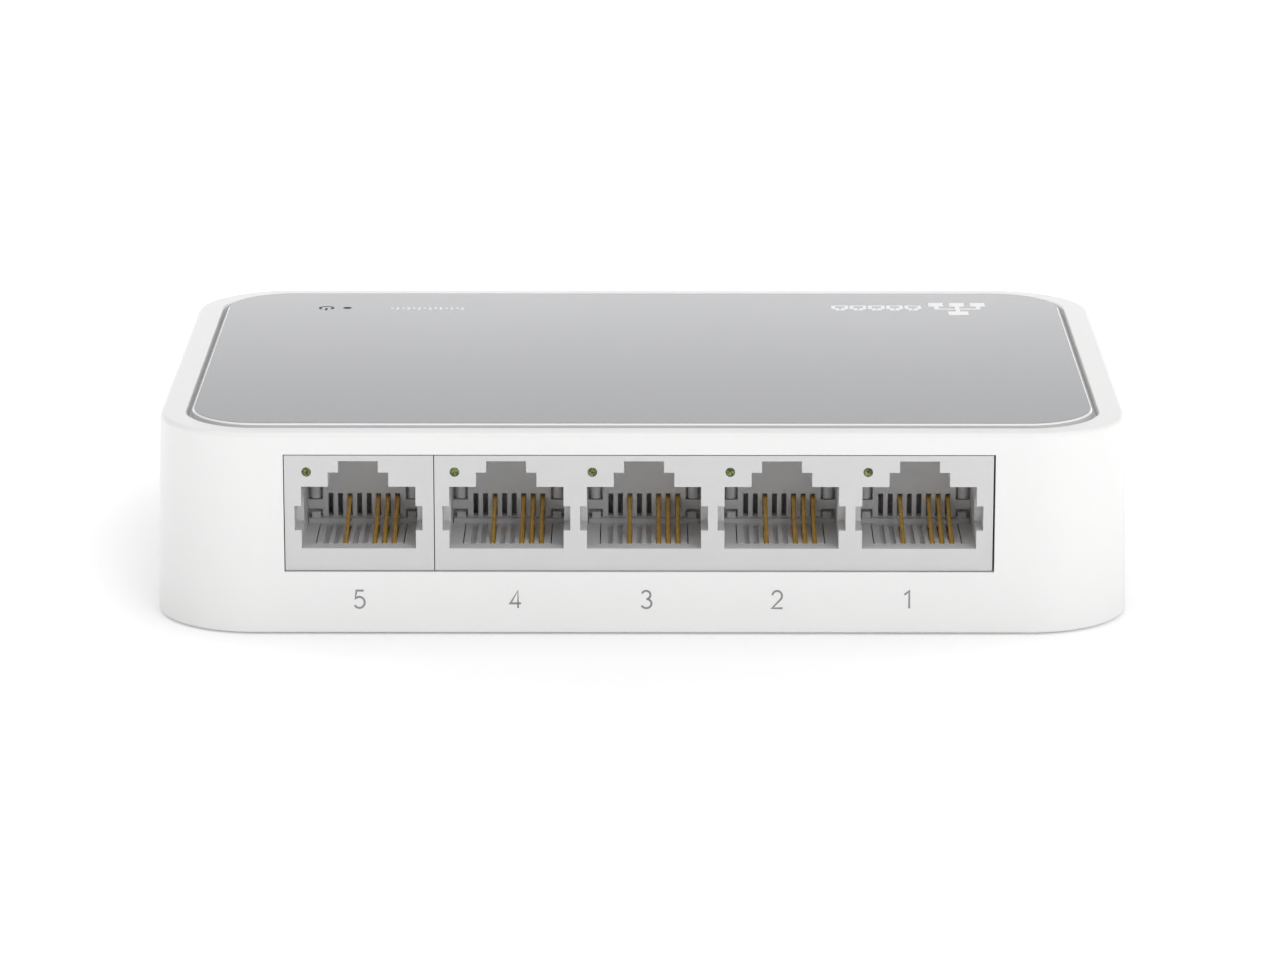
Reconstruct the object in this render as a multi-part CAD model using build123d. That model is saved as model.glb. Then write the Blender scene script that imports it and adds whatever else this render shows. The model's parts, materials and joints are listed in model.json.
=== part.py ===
from build123d import *
from math import cos, radians, sin, tan
import os

# Five-port desktop network switch. Millimetres. The origin is the centre of the footprint on the desk,
# +Z is up and the ports face -Y. Port 5 is at the left end of the row, seen from the front.

# Case
body_width = 103.5
body_depth = 70.0
overall_height = 22.0
foot_proud = 0.2
corner_radius = 11.0
wall_draft = 1.5
wall = 2.0
rim_fillet = 0.5
rim_inner_fillet = 0.2
base_fillet = 0.3
roof_under = 19.6
recess_floor = 20.6
recess_half_width = 48.4
recess_half_depth = 31.95
recess_radius = 8.0
rim_middle = 0.6
groove = 0.63

# Top plate, its grey film and the adhesive sheet under it
plate_proud = 0.3
adhesive_thickness = 0.2
adhesive_gap = 0.04
stake_clearance = 0.1
film_thickness = 0.05
plate_bevel = 0.15
film_inset = 0.2
stake_radius = 1.0
stake_places = [(-38.0, -25.0), (38.0, -25.0), (-40.0, 20.0), (38.0, 25.0)]

# Bottom cover
cover_top = 2.4
cover_wall = 1.3
cover_gap = 0.15
boss_radius = 2.6
boss_places = [(-44.6, -28.3), (44.6, -28.3), (-44.6, 28.3), (44.6, 28.3)]
screw_radius = 0.95
screw_clearance = 0.2
screw_head_radius = 2.1
screw_head_height = 1.3
screw_head_fillet = 0.45
recess_arm = 1.1
recess_arm_half = 0.25
recess_arm_depth = 0.7
case_screw_length = 8.0
board_screw_length = 6.0
counterbore_depth = 1.4
foot_radius = 4.0
foot_clearance = 0.1
foot_height = 1.0
foot_rim = 0.2
foot_places = {
    "foot_front_left": (-37.0, -24.0),
    "foot_front_right": (37.0, -24.0),
    "foot_rear_left": (-37.0, 24.0),
    "foot_rear_right": (37.0, 24.0),
}
label_size = (46.0, 26.0)
label_thickness = 0.1
label_clearance = 0.2
vent_size = (1.6, 15.0)
vent_pitch = 3.4
vent_count = 5
vent_bank_x = 36.0

# Circuit board
board_top = 6.88
board_thickness = 1.6
board_half_width = 45.0
board_front = -32.2
board_back = 27.0
board_corner_clearance = 3.2
board_screw_clearance = 0.25
board_post_radius = 2.3
board_post_places = [(-18.0, 23.6), (36.0, 8.0)]
cover_post_radius = 1.8
cover_post_places = [(-40.5, -14.0), (40.5, -14.0), (-40.5, 18.5), (41.0, 21.0)]
tail_low = 4.4
tail_hole_radius = 0.42

# Port window in the front wall
window_left = -37.52
window_right = 36.94
window_low = 6.78
window_high = 19.41
window_gap = 0.1

# Jack row
jack_face = -34.5
jack_depth = 15.7
jack_divider = -21.76
single_port_x = -29.69
quad_first_port_x = -14.2
quad_pitch = 14.41
floor_height = 9.27
cavity_depth = 11.2
opening_width = 11.97
shoulder_height = 15.96
wide_notch = (6.34, 17.49)
narrow_notch = (4.18, 18.72)
ear_width = 13.39
ear_low = 11.23
ear_high = 13.87
ear_depth = 4.0
peg_radius = 1.6
peg_offset = 5.715
peg_depth = 7.5
peg_tip = 0.6
peg_clearance = 0.08
lamp_offset = -5.4
lamp_height = 17.54
lamp_radius = 0.5

# Contacts: eight places at one pitch, of which a 10/100 port fills four
contact_pitch = 1.02
contact_slots = 8
filled_slots = [3, 6, 7, 8]
slot_width = 0.54
wire_radius = 0.23
comb_low = 9.8
comb_high = 12.3
comb_back = 12.5
chamber_back = 14.7
chamber_half = 4.3
chamber_high = 13.0
corner_pocket_inner = 4.43
corner_pocket_low = 11.6
corner_pocket_depth = 1.1
corner_post_radius = 0.55
corner_post_gap = 0.12
notch_high = 10.6
notch_depth = 0.9

# Contact carrier
carrier_front = 2.05
carrier_half = 4.56
carrier_pocket_half = 4.68
carrier_gap = 0.05
carrier_top = 9.25
carrier_nose = 0.3
carrier_slot_floor = 7.95
empty_slot_floor = 8.85
carrier_slot_front = 2.25
bar_front = 10.25
bar_back = 11.1
bar_half = 5.9
bar_top = 9.75
bar_notch = 9.5
tunnel_high = 8.9
lug_inner = 4.65
lug_outer = 5.55
lug_top = 10.38
lug_front = 10.6

# Contact wires: a hairpin at the mouth, then an arm that slopes up into the comb
hinge_depth = 2.95
hinge_height = 8.68
hairpin_radius = 0.43
arm_slope = 17.5
arm_end_depth = 11.9
lead_bend = 0.6
tail_rows = [12.75, 13.9]

# Link lamps
guide_radius = 0.47
guide_bend = 1.6
guide_drop_depth = 17.2
guide_face_gap = 0.12
lamp_chip = (1.6, 0.8, 0.7)
guide_lamp_gap = 0.2
guide_hole_gap = 0.03

# Power lamp
power_lamp_place = (-34.02, 23.34)
power_tip_radius = 0.475
power_shaft_radius = 1.0
power_flange_radius = 1.7
power_flange = 0.8
power_tip_drop = 0.05
power_shoulder_gap = 0.02

# Power inlet on the left wall, for a 5.5 mm by 2.1 mm barrel plug
inlet_y = 8.0
inlet_axis_height = 13.3
inlet_wall_hole = 4.1
inlet_front = -49.1
inlet_length = 14.2
inlet_width = 9.0
inlet_height = 10.9
inlet_bore = 3.15
inlet_bore_depth = 10.2
inlet_pin_radius = 1.0
inlet_pin_root_radius = 1.25
inlet_pin_recess = 0.8
inlet_pin_tip = 0.5
tail_half_thickness = 0.25
tail_half_width = 1.1
tail_rise = 1.3
tail_clearance = 0.15
anchor_tail_from_back = 3.2
switch_tail_from_back = 6.5
switch_tab_half = 1.6
spring_width = 2.4
spring_thickness = 0.3
spring_length = 7.2
spring_pivot_from_front = 9.4
spring_root_gap = 0.05
spring_crown = 0.35
spring_crown_share = 0.3
spring_crown_run = 1.6
spring_lip = 0.35
spring_slot_width = 2.8
spring_slot_margins = (0.4, 2.4)
spring_slot_rise = 0.6

# Magnetics, chips and the rest of the board
quad_module = {"centre": (8.0, -9.6), "size": (27.4, 9.4, 5.6), "pins": 20, "pitch": 1.27}
single_module = {"centre": (-29.7, -10.2), "size": (12.7, 7.0, 5.4), "pins": 8, "pitch": 1.27}
module_lift = 0.25
module_lead = (0.45, 0.25)
module_lead_height = 1.6
module_bevel = 0.4
module_dimple = {"inset": 1.6, "depth": 0.3, "radius": 0.6}
lead_shoulder = 0.55
lead_foot = 0.7
chip_centre = (2.0, 7.5)
chip_size = (10.0, 10.0, 1.4)
chip_pins = 12
chip_pitch = 0.65
chip_lift = 0.12
chip_lead = (0.28, 0.15)
chip_lead_height = 0.9
chip_bevel = 0.25
chip_dimple = {"inset": 1.2, "depth": 0.15, "radius": 0.45}
crystal_centre = (17.5, 9.0)
crystal_size = (11.0, 4.6, 3.4)
crystal_fillet = 0.4
crystal_flange = (0.8, 0.4)
capacitor_large = {"centre": (-27.0, 18.0), "radius": 3.15, "height": 11.0}
capacitor_small = {"centre": (-29.0, -1.0), "radius": 2.5, "height": 9.0}
can_fillet = 0.4
can_groove = {"height": 1.6, "reach": 0.25, "radius": 0.5}
can_score = {"share": 0.7, "half": 0.1, "depth": 0.15}
can_lead_offset = 1.25
can_lead_radius = 0.3
can_lead_hole = 0.45
inductor_centre = (-21.0, 4.0)
inductor_size = (6.8, 6.8, 3.6)
inductor_bevel = 0.6
inductor_window = {"depth": 0.5, "radius": 2.2}
regulator_centre = (-12.5, 14.0)
regulator_size = (4.9, 3.9, 1.5)
regulator_lift = 0.1
regulator_pins = 4
regulator_pitch = 1.27
regulator_lead = (0.4, 0.2)
regulator_lead_height = 0.8
diode_centre = (-28.5, 8.5)
diode_size = (4.3, 2.6, 2.0)
diode_bevel = 0.25
small_chip_size = (1.6, 0.8, 0.7)
resistor_size = (1.6, 0.8, 0.45)
capacitor_rows = [(-4.5, 16.0, 6), (12.0, 15.0, 6), (22.0, 0.0, 4)]
resistor_rows = [(-4.5, 18.5, 6), (12.0, 17.5, 6), (22.0, 2.6, 4)]
row_pitch = 2.4

board_low = board_top - board_thickness
case_base = foot_proud
rim_top = overall_height - plate_proud
film_low = overall_height - film_thickness
plate_low = recess_floor + adhesive_thickness
plate_half_width = recess_half_width - groove
plate_half_depth = recess_half_depth - groove
plate_radius = recess_radius - groove
jack_low = window_low + window_gap
jack_high = window_high - window_gap


def box(x0, x1, y0, y1, z0, z1):
    """Box between two corners."""
    return Pos((x0 + x1) / 2, (y0 + y1) / 2, (z0 + z1) / 2) * Box(x1 - x0, y1 - y0, z1 - z0)


def rod(x, y, z0, z1, radius):
    """Upright cylinder."""
    return Pos(x, y, (z0 + z1) / 2) * Cylinder(radius, z1 - z0)


def slab(half_width, half_depth, radius, z0, z1, lean=0.0):
    """Upright slab with a rounded rectangular outline, whose walls lean in by an angle."""
    outline = RectangleRounded(2 * half_width, 2 * half_depth, radius)
    return extrude(Plane.XY.offset(z0) * outline, amount=z1 - z0, taper=lean)


def edges_at(solid, z):
    """Edges whose middle lies at height z."""
    return [e for e in solid.edges() if abs(e.center().Z - z) < 0.01]


def reach_past_tray(edge):
    """How far an edge's middle lies outside the tray's rounded outline."""
    middle = edge @ 0.5
    dx = max(abs(middle.X) - recess_half_width + recess_radius, 0)
    dy = max(abs(middle.Y) - recess_half_depth + recess_radius, 0)
    return (dx * dx + dy * dy) ** 0.5 - recess_radius


def save(name, shape):
    """Write one node, which may be several separate solids."""
    solids = shape.solids()
    whole = solids[0] if len(solids) == 1 else Compound(children=solids)
    whole.label = name
    export_step(whole, os.path.join("parts", name + ".step"))


def upper_housing():
    """Four walls and a roof in one moulding, open below, with a tray in the roof for the top plate."""
    half_w, half_d = body_width / 2, body_depth / 2
    shell = slab(half_w, half_d, corner_radius, case_base, rim_top, wall_draft)
    shell -= slab(recess_half_width, recess_half_depth, recess_radius, recess_floor, overall_height + 1)
    outer = [e for e in edges_at(shell, rim_top) if reach_past_tray(e) > rim_middle]
    shell = fillet(outer, rim_fillet)
    inner = [e for e in edges_at(shell, rim_top) if reach_past_tray(e) < rim_middle]
    shell = fillet(inner, rim_inner_fillet)
    shell = fillet(edges_at(shell, case_base), base_fillet)
    radius = corner_radius - wall
    shell -= slab(half_w - wall, half_d - wall, radius, case_base - 0.01, roof_under, wall_draft)
    radius = corner_radius - cover_wall
    shell -= slab(half_w - cover_wall, half_d - cover_wall, radius, case_base - 1, cover_top)
    for x, y in boss_places:
        shell += rod(x, y, cover_top, roof_under, boss_radius)
    for x, y in board_post_places:
        shell += rod(x, y, board_top, roof_under, board_post_radius)
    for x, y in boss_places:
        shell -= rod(x, y, cover_top - 1, cover_top + case_screw_length, screw_radius)
    for x, y in board_post_places:
        shell -= rod(x, y, board_top - 1, board_top + board_screw_length, screw_radius)
    for x, y in stake_places:
        shell -= rod(x, y, roof_under - 1, recess_floor + 0.5, stake_radius)
    x, y = power_lamp_place
    shell -= rod(x, y, roof_under - 1, recess_floor + 0.5, power_shaft_radius)
    shell -= box(window_left, window_right, -half_d - 1, -half_d + wall + 1, window_low, window_high)
    hole = Pos(-half_w, inlet_y, inlet_axis_height) * Rot(0, 90, 0) * Cylinder(inlet_wall_hole, 4 * wall)
    return shell - hole


def top_plate():
    """White inlay in the tray, with a bevelled edge and four stakes that pass through the roof."""
    plate = slab(plate_half_width, plate_half_depth, plate_radius, plate_low, film_low)
    plate = chamfer(edges_at(plate, film_low), plate_bevel)
    for x, y in stake_places:
        plate += rod(x, y, roof_under, plate_low, stake_radius)
    x, y = power_lamp_place
    return plate - rod(x, y, recess_floor - 1, overall_height, power_tip_radius + guide_hole_gap)


def plate_adhesive():
    """Grey adhesive sheet over the whole floor of the tray, with holes for the stakes and the lamp."""
    half_w, half_d = recess_half_width - adhesive_gap, recess_half_depth - adhesive_gap
    sheet = slab(half_w, half_d, recess_radius - adhesive_gap, recess_floor, plate_low)
    for x, y in stake_places:
        sheet -= rod(x, y, recess_floor - 1, plate_low + 1, stake_radius + stake_clearance)
    x, y = power_lamp_place
    return sheet - rod(x, y, recess_floor - 1, plate_low + 1, power_tip_radius + guide_hole_gap)


def top_overlay():
    """Thin grey film on the plate, inside its bevel."""
    half_w, half_d = plate_half_width - film_inset, plate_half_depth - film_inset
    film = slab(half_w, half_d, plate_radius - film_inset, film_low, overall_height)
    x, y = power_lamp_place
    return film - rod(x, y, film_low - 1, overall_height + 1, power_tip_radius + guide_hole_gap)


def power_light_guide():
    """Clear stepped pipe from the board's lamp to a small round window in the top."""
    x, y = power_lamp_place
    foot = board_top + lamp_chip[2] + guide_lamp_gap
    shoulder = recess_floor - power_shoulder_gap
    pipe = rod(x, y, foot, shoulder, power_shaft_radius - guide_hole_gap)
    pipe += rod(x, y, roof_under - power_flange, roof_under, power_flange_radius)
    return pipe + rod(x, y, shoulder, overall_height - power_tip_drop, power_tip_radius)


def bottom_cover():
    """Flat inset cover with posts that carry the board, counterbores, foot seats and air slots."""
    inset = cover_wall + cover_gap
    half_w, half_d = body_width / 2 - inset, body_depth / 2 - inset
    cover = slab(half_w, half_d, corner_radius - inset, case_base, cover_top)
    for x, y in cover_post_places:
        cover += rod(x, y, cover_top, board_low, cover_post_radius)
    for x, y in boss_places:
        sunk = case_base + counterbore_depth
        cover -= rod(x, y, case_base - 1, sunk, screw_head_radius + screw_clearance)
        cover -= rod(x, y, case_base, cover_top + 1, screw_radius + screw_clearance)
    for x, y in foot_places.values():
        cover -= rod(x, y, case_base - 1, foot_height, foot_radius + foot_clearance)
    w, d = label_size[0] / 2 + label_clearance, label_size[1] / 2 + label_clearance
    cover -= box(-w, w, -d, d, case_base - 1, case_base + label_thickness)
    vw, vd = vent_size
    for side in (-1, 1):
        for i in range(vent_count):
            x = side * vent_bank_x + (i - (vent_count - 1) / 2) * vent_pitch
            slot = Plane.XY.offset(case_base - 1) * Pos(x, 0) * Rot(0, 0, 90) * SlotOverall(vd, vw)
            cover -= extrude(slot, amount=cover_top - case_base + 2)
    return cover


def rating_label():
    """Blank label in its shallow seat under the case."""
    w, d = label_size
    return box(-w / 2, w / 2, -d / 2, d / 2, case_base, case_base + label_thickness)


def foot(place):
    """Round rubber pad with a softened rim, glued in its seat."""
    x, y = place
    pad = rod(x, y, 0, foot_height, foot_radius)
    return fillet(edges_at(pad, 0), foot_rim)


def screw(x, y, head_low, length):
    """Pan-head screw pointing up, with a cross recess."""
    head_top = head_low + screw_head_height
    head = rod(x, y, head_low, head_top, screw_head_radius)
    head = fillet(edges_at(head, head_low), screw_head_fillet)
    body = head + rod(x, y, head_top, head_top + length, screw_radius)
    bottom = head_low + recess_arm_depth
    for dx, dy in ((recess_arm, recess_arm_half), (recess_arm_half, recess_arm)):
        body -= box(x - dx, x + dx, y - dy, y + dy, head_low - 1, bottom)
    return body


def case_screws():
    """Four screws that hold the bottom cover to the corner bosses."""
    head_low = case_base + counterbore_depth - screw_head_height
    return Compound(children=[screw(x, y, head_low, case_screw_length) for x, y in boss_places])


def board_screws():
    """Two screws that hold the board up to the roof posts."""
    head_low = board_low - screw_head_height
    return Compound(children=[screw(x, y, head_low, board_screw_length) for x, y in board_post_places])


def port_centres():
    """Port number to the X of its centre."""
    centres = {5: single_port_x}
    for i in range(4):
        centres[4 - i] = quad_first_port_x + i * quad_pitch
    return centres


def slot_x(slot):
    """X of one contact place, counted 1 to 8 from the left, from the port's centre."""
    return (slot - (contact_slots + 1) / 2) * contact_pitch


def peg_places(numbers):
    """Where a housing's locating pegs stand: at the outer ends of the ports it holds."""
    xs = [port_centres()[n] for n in numbers]
    return [(min(xs) - peg_offset, jack_face + peg_depth), (max(xs) + peg_offset, jack_face + peg_depth)]


def port_cavity(x):
    """Everything that one port takes out of its housing, as one tool."""
    f = jack_face
    half = opening_width / 2
    tool = box(x - half, x + half, f - 1, f + cavity_depth, floor_height, shoulder_height)
    for width, high in (wide_notch, narrow_notch):
        tool += box(x - width / 2, x + width / 2, f - 1, f + cavity_depth, shoulder_height - 1, high)
    tool += box(x - ear_width / 2, x + ear_width / 2, f - 1, f + ear_depth, ear_low, ear_high)
    pocket = carrier_pocket_half
    front, bar = f + carrier_front - carrier_gap, f + bar_front - carrier_gap
    tool += box(x - pocket, x + pocket, front, f + bar_front, jack_low - 1, floor_height)
    tool += box(x - half, x + half, bar, f + cavity_depth, jack_low - 1, floor_height)
    ch = chamber_half
    tool += box(x - ch, x + ch, f + cavity_depth, f + chamber_back, jack_low - 1, floor_height)
    tool += box(x - ch, x + ch, f + comb_back, f + chamber_back, jack_low - 1, chamber_high)
    for slot in range(1, contact_slots + 1):
        sx = x + slot_x(slot)
        a, b = sx - slot_width / 2, sx + slot_width / 2
        tool += box(a, b, f + cavity_depth - 1, f + comb_back + 1, comb_low, comb_high)
    for side in (-1, 1):
        inner, outer = x + side * corner_pocket_inner, x + side * half
        low, high = min(inner, outer), max(inner, outer)
        deep = f + cavity_depth
        tool += box(low, high, deep - 1, deep + corner_pocket_depth, corner_pocket_low, shoulder_height)
        tool += box(low, high, deep - 1, deep + notch_depth, bar_top, notch_high)
    lamp = Pos(x + lamp_offset, f + jack_depth / 2, lamp_height) * Rot(90, 0, 0)
    return tool + lamp * Cylinder(lamp_radius, jack_depth + 2)


def jack_housing(x0, x1, numbers):
    """Moulded jack block with one cavity for each port, two locating pegs and the corner posts."""
    block = box(x0, x1, jack_face, jack_face + jack_depth, jack_low, jack_high)
    for n in numbers:
        block -= port_cavity(port_centres()[n])
    for n in numbers:
        for side in (-1, 1):
            px = port_centres()[n] + side * (corner_pocket_inner + opening_width / 2) / 2
            py = jack_face + cavity_depth + corner_post_radius
            low = corner_pocket_low + corner_post_gap
            block += rod(px, py, low, shoulder_height, corner_post_radius)
    for px, py in peg_places(numbers):
        block += rod(px, py, board_low - peg_tip, jack_low, peg_radius)
    return block


def contact_carrier(x):
    """Insert in the port's floor: eight slots side by side, a bar across its back and two end lugs."""
    f = jack_face
    front, half = f + carrier_front, carrier_half
    block = box(x - half, x + half, front, f + bar_front, jack_low, carrier_top)
    nose = [e for e in edges_at(block, carrier_top) if abs(e.center().Y - front) < 0.01]
    block = chamfer(nose, carrier_nose)
    block += box(x - bar_half, x + bar_half, f + bar_front, f + bar_back, jack_low, bar_top)
    for side in (-1, 1):
        a, b = x + side * lug_inner, x + side * lug_outer
        block += box(min(a, b), max(a, b), f + lug_front, f + bar_back, bar_top - 0.1, lug_top)
    for slot in range(1, contact_slots + 1):
        a, b = x + slot_x(slot) - slot_width / 2, x + slot_x(slot) + slot_width / 2
        floor = carrier_slot_floor if slot in filled_slots else empty_slot_floor
        block -= box(a, b, f + carrier_slot_front, f + bar_front, floor, carrier_top + 1)
        if slot in filled_slots:
            block -= box(a, b, f + bar_front - 0.1, f + bar_back + 1, floor, tunnel_high)
            block -= box(a, b, f + bar_front - 0.1, f + bar_back + 1, bar_notch, bar_top + 1)
    return block


def wire(path):
    """Round wire along a path."""
    start = Plane(origin=path @ 0, z_dir=path % 0)
    return sweep(start * Circle(wire_radius), path=path)


def contact_springs(x):
    """The sprung part of a port's contacts: each a hairpin and a sloping arm."""
    slope = radians(arm_slope)
    y, z = jack_face + hinge_depth, hinge_height
    turn = (y - hairpin_radius * sin(slope), z + hairpin_radius * cos(slope))
    end_y = jack_face + arm_end_depth
    end_z = turn[1] + (end_y - turn[0]) * tan(slope)
    wires = []
    for slot in filled_slots:
        sx = x + slot_x(slot)
        start, middle, end = (sx, y, z - hairpin_radius), (sx, y - hairpin_radius, z), (sx, *turn)
        bend = ThreePointArc(start, middle, end)
        arm = Line(end, (sx, end_y, end_z))
        wires += wire(bend + arm).solids()
    return Compound(children=wires)


def contact_leads(x):
    """The fixed part of a port's contacts: back along the carrier's slots and down through the board."""
    y, z = jack_face + hinge_depth, hinge_height - hairpin_radius
    wires = []
    for slot in filled_slots:
        sx = x + slot_x(slot)
        back = jack_face + tail_rows[slot % 2]
        path = FilletPolyline((sx, y, z), (sx, back, z), (sx, back, tail_low), radius=lead_bend)
        wires += wire(path).solids()
    return Compound(children=wires)


def link_light_guide(x):
    """Clear pipe from a lamp on the board, over the cavity, to the port's face."""
    gx = x + lamp_offset
    back = jack_face + guide_drop_depth
    foot = board_top + lamp_chip[2] + guide_lamp_gap
    path = FilletPolyline(
        (gx, jack_face + guide_face_gap, lamp_height),
        (gx, back, lamp_height),
        (gx, back, foot),
        radius=guide_bend,
    )
    start = Plane(origin=path @ 0, z_dir=path % 0)
    return sweep(start * Circle(guide_radius), path=path)


def lamp_at(x, y):
    """Small surface-mount lamp."""
    w, d, h = lamp_chip
    return box(x - w / 2, x + w / 2, y - d / 2, y + d / 2, board_top, board_top + h)


def circuit_board():
    """Board with notches round the corner bosses and holes for pegs, tails and screws."""
    board = box(-board_half_width, board_half_width, board_front, board_back, board_low, board_top)
    low, high = board_low - 1, board_top + 1
    for x, y in boss_places:
        board -= rod(x, y, low, high, board_corner_clearance)
        if y < 0:
            board -= box(min(x, 2 * x), max(x, 2 * x), 2 * y, y, low, high)
    for x, y in board_post_places:
        board -= rod(x, y, low, high, screw_radius + board_screw_clearance)
    for numbers in ([5], [4, 3, 2, 1]):
        for x, y in peg_places(numbers):
            board -= rod(x, y, low, high, peg_radius + peg_clearance)
    for x in port_centres().values():
        for slot in filled_slots:
            y = jack_face + tail_rows[slot % 2]
            board -= rod(x + slot_x(slot), y, low, high, tail_hole_radius)
    for x, y, half_w, half_d in inlet_tails():
        w, d = half_w + tail_clearance, half_d + tail_clearance
        board -= box(x - w, x + w, y - d, y + d, low, high)
    for can in (capacitor_large, capacitor_small):
        x, y = can["centre"]
        for side in (-1, 1):
            board -= rod(x + side * can_lead_offset, y, low, high, can_lead_hole)
    return board


def inlet_tails():
    """Centre and half sizes of the inlet's three flat tails: pin, spring anchor and switch contact."""
    back = inlet_front + inlet_length
    thin, wide = tail_half_thickness, tail_half_width
    return [
        (back + thin, inlet_y, thin, wide),
        (back - anchor_tail_from_back, inlet_y, thin, wide),
        (back - switch_tail_from_back, inlet_y + inlet_width / 2 + thin, wide, thin),
    ]


def inlet_cylinder(radius, x0, x1):
    """Cylinder on the inlet's axis between two X values."""
    return Pos((x0 + x1) / 2, inlet_y, inlet_axis_height) * Rot(0, 90, 0) * Cylinder(radius, x1 - x0)


def power_inlet_housing():
    """Barrel jack body: a bore from the left, a slot under it for the sleeve spring."""
    back = inlet_front + inlet_length
    half = inlet_width / 2
    top = board_top + inlet_height
    body = box(inlet_front, back, inlet_y - half, inlet_y + half, board_top, top)
    bore_end = inlet_front + inlet_bore_depth
    body -= inlet_cylinder(inlet_bore, inlet_front - 1, bore_end)
    body -= inlet_cylinder(inlet_pin_root_radius, bore_end, back + 1)
    sw = spring_slot_width / 2
    pivot = inlet_front + spring_pivot_from_front
    slot_front = pivot - spring_length - spring_slot_margins[0]
    slot_back = pivot + spring_slot_margins[1]
    slot_top = inlet_axis_height - inlet_bore + spring_slot_rise
    body -= box(slot_front, slot_back, inlet_y - sw, inlet_y + sw, board_top - 1, slot_top)
    return body


def power_inlet_pin():
    """Centre pin on a thicker root held by the body, with its tail behind the body."""
    x, y, half_w, half_d = inlet_tails()[0]
    back = inlet_front + inlet_length
    bore_end = inlet_front + inlet_bore_depth
    front = inlet_front + inlet_pin_recess
    pin = inlet_cylinder(inlet_pin_radius, front, bore_end)
    tip = [e for e in pin.edges() if e.center().X < front + 0.01]
    pin = fillet(tip, inlet_pin_tip)
    pin += inlet_cylinder(inlet_pin_root_radius, bore_end, back)
    high = inlet_axis_height + tail_rise
    return pin + box(x - half_w, x + half_w, y - half_d, y + half_d, tail_low, high)


def spring_height():
    """Underside of the leaf where it is flat: its crown then stands just inside the bore."""
    return inlet_axis_height - inlet_bore - spring_thickness


def power_inlet_spring():
    """Sleeve spring: a leaf along the bottom of the bore, crowned where the plug's barrel rubs."""
    low = spring_height()
    pivot = inlet_front + spring_pivot_from_front
    front = pivot - spring_length
    crown = front + spring_crown_share * spring_length
    lip = low - spring_lip
    points = [
        (front, lip),
        (crown, low + spring_crown),
        (crown + spring_crown_run, low),
        (pivot, low),
        (pivot, low + spring_thickness),
        (crown + spring_crown_run, low + spring_thickness),
        (crown, low + spring_crown + spring_thickness),
        (front, lip + spring_thickness),
    ]
    side = Plane(origin=(0, inlet_y + spring_width / 2, 0), x_dir=(1, 0, 0), z_dir=(0, -1, 0))
    return extrude(side * make_face(Polyline(*points, close=True)), amount=spring_width)


def power_inlet_anchor():
    """Fixed root of the sleeve spring, with the tail that is soldered to the board."""
    low = spring_height()
    high = low + spring_thickness
    start = inlet_front + spring_pivot_from_front + spring_root_gap
    x, y, half_w, half_d = inlet_tails()[1]
    half = spring_width / 2
    root = box(start, x + half_w, y - half, y + half, low, high)
    return root + box(x - half_w, x + half_w, y - half_d, y + half_d, tail_low, high)


def power_inlet_switch():
    """Switch contact: a flat tab on the body's side with its own tail."""
    x, y, half_w, half_d = inlet_tails()[2]
    tab_x0, tab_x1 = x - switch_tab_half, x + switch_tab_half
    tab = box(tab_x0, tab_x1, y - half_d, y + half_d, board_top, inlet_axis_height)
    return tab + box(x - half_w, x + half_w, y - half_d, y + half_d, tail_low, board_top)


def gull_lead(x, y, direction, body_half, body_mid, size):
    """Bent lead of a surface-mount package: out of its side, down, and flat on the board."""
    width, thick = size
    top = board_top + body_mid
    reach = body_half + lead_shoulder
    toe = reach + lead_foot
    points = [
        (body_half, top),
        (reach, top),
        (reach, board_top + thick),
        (toe, board_top + thick),
        (toe, board_top),
        (reach - thick, board_top),
        (reach - thick, top - thick),
        (body_half, top - thick),
    ]
    out = {"+y": (0, 1, 0), "-y": (0, -1, 0), "+x": (1, 0, 0), "-x": (-1, 0, 0)}[direction]
    side = Plane(origin=(x, y, 0), x_dir=out, z_dir=Vector(*out).cross(Vector(0, 0, 1)))
    return extrude(side * make_face(Polyline(*points, close=True)), amount=width / 2, both=True)


def package(centre, size, lift, bevel, dimple):
    """Flat moulded package with a bevelled top and a dimple for its first pin."""
    (x, y), (w, d, h) = centre, size
    low = board_top + lift
    body = box(x - w / 2, x + w / 2, y - d / 2, y + d / 2, low, low + h)
    body = chamfer(edges_at(body, low + h), bevel)
    dx, dy = x - w / 2 + dimple["inset"], y - d / 2 + dimple["inset"]
    return body - rod(dx, dy, low + h - dimple["depth"], low + h + 1, dimple["radius"])


def module_body(spec):
    """Potted magnetics module."""
    return package(spec["centre"], spec["size"], module_lift, module_bevel, module_dimple)


def module_leads(spec):
    """Two rows of bent leads."""
    (x, y), (w, d, h) = spec["centre"], spec["size"]
    leads = []
    for i in range(spec["pins"]):
        px = x + (i - (spec["pins"] - 1) / 2) * spec["pitch"]
        for direction in ("+y", "-y"):
            leads += gull_lead(px, y, direction, d / 2, module_lead_height, module_lead).solids()
    return Compound(children=leads)


def chip_body():
    """Flat square switch chip."""
    return package(chip_centre, chip_size, chip_lift, chip_bevel, chip_dimple)


def chip_leads():
    """Four rows of bent leads."""
    x, y = chip_centre
    half = chip_size[0] / 2
    leads = []
    for i in range(chip_pins):
        along = (i - (chip_pins - 1) / 2) * chip_pitch
        for direction in ("+y", "-y"):
            leads += gull_lead(x + along, y, direction, half, chip_lead_height, chip_lead).solids()
        for direction in ("+x", "-x"):
            leads += gull_lead(x, y + along, direction, half, chip_lead_height, chip_lead).solids()
    return Compound(children=leads)


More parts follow.
